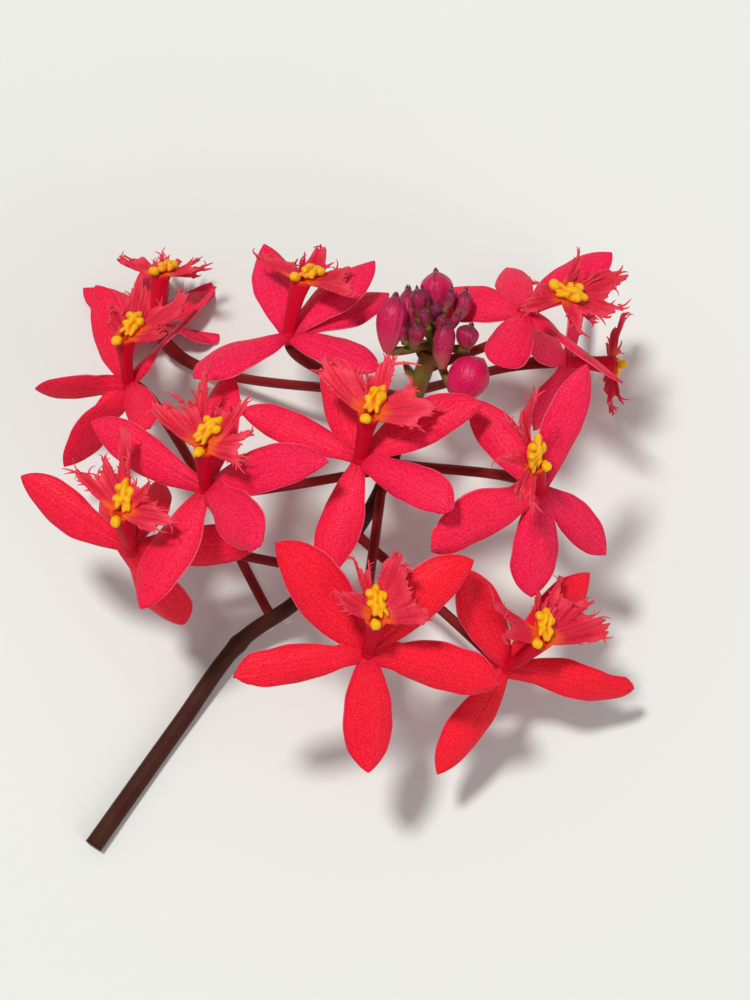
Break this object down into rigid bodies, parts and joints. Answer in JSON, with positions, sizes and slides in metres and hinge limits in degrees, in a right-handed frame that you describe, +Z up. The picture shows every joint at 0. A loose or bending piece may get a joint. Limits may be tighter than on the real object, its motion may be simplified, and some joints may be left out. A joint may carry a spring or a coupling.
{
  "type": "epidendrum orchid flower head",
  "caption": "Cut flowering stem of an epidendrum orchid with a rounded head of red fringed flowers and buds, lying on a surface.",
  "frame": {"origin": "middle of the overall box at the surface the head lies on", "axes": "+Z up; +Y toward the top of the head; the cut end of the stem is toward -X and -Y; the flowers face up"},
  "size_m": [0.0899, 0.0939, 0.0468],
  "materials": {
    "crimson_tepal": "soft matte, fine cell sparkle",
    "yellow_callus": "waxy, soft",
    "maroon_stem": "smooth, slightly waxy",
    "magenta_bud": "smooth, slightly waxy"
  },
  "bodies": {
    "root": {"stem": "maroon_stem", "bud_cluster": "magenta_bud", "bloom_front": "crimson_tepal", "callus_front": "yellow_callus", "bloom_low_middle": "crimson_tepal", "callus_low_middle": "yellow_callus", "bloom_right": "crimson_tepal", "callus_right": "yellow_callus", "bloom_low_right": "crimson_tepal", "callus_low_right": "yellow_callus", "bloom_upper_left": "crimson_tepal", "callus_upper_left": "yellow_callus", "bloom_far_left": "crimson_tepal", "callus_far_left": "yellow_callus", "bloom_top_left": "crimson_tepal", "callus_top_left": "yellow_callus", "bloom_top_middle": "crimson_tepal", "callus_top_middle": "yellow_callus", "bloom_top_right": "crimson_tepal", "callus_top_right": "yellow_callus", "bloom_rear_right": "crimson_tepal", "callus_rear_right": "yellow_callus", "bloom_rear_left": "crimson_tepal", "callus_rear_left": "yellow_callus"}
  },
  "joints": []
}
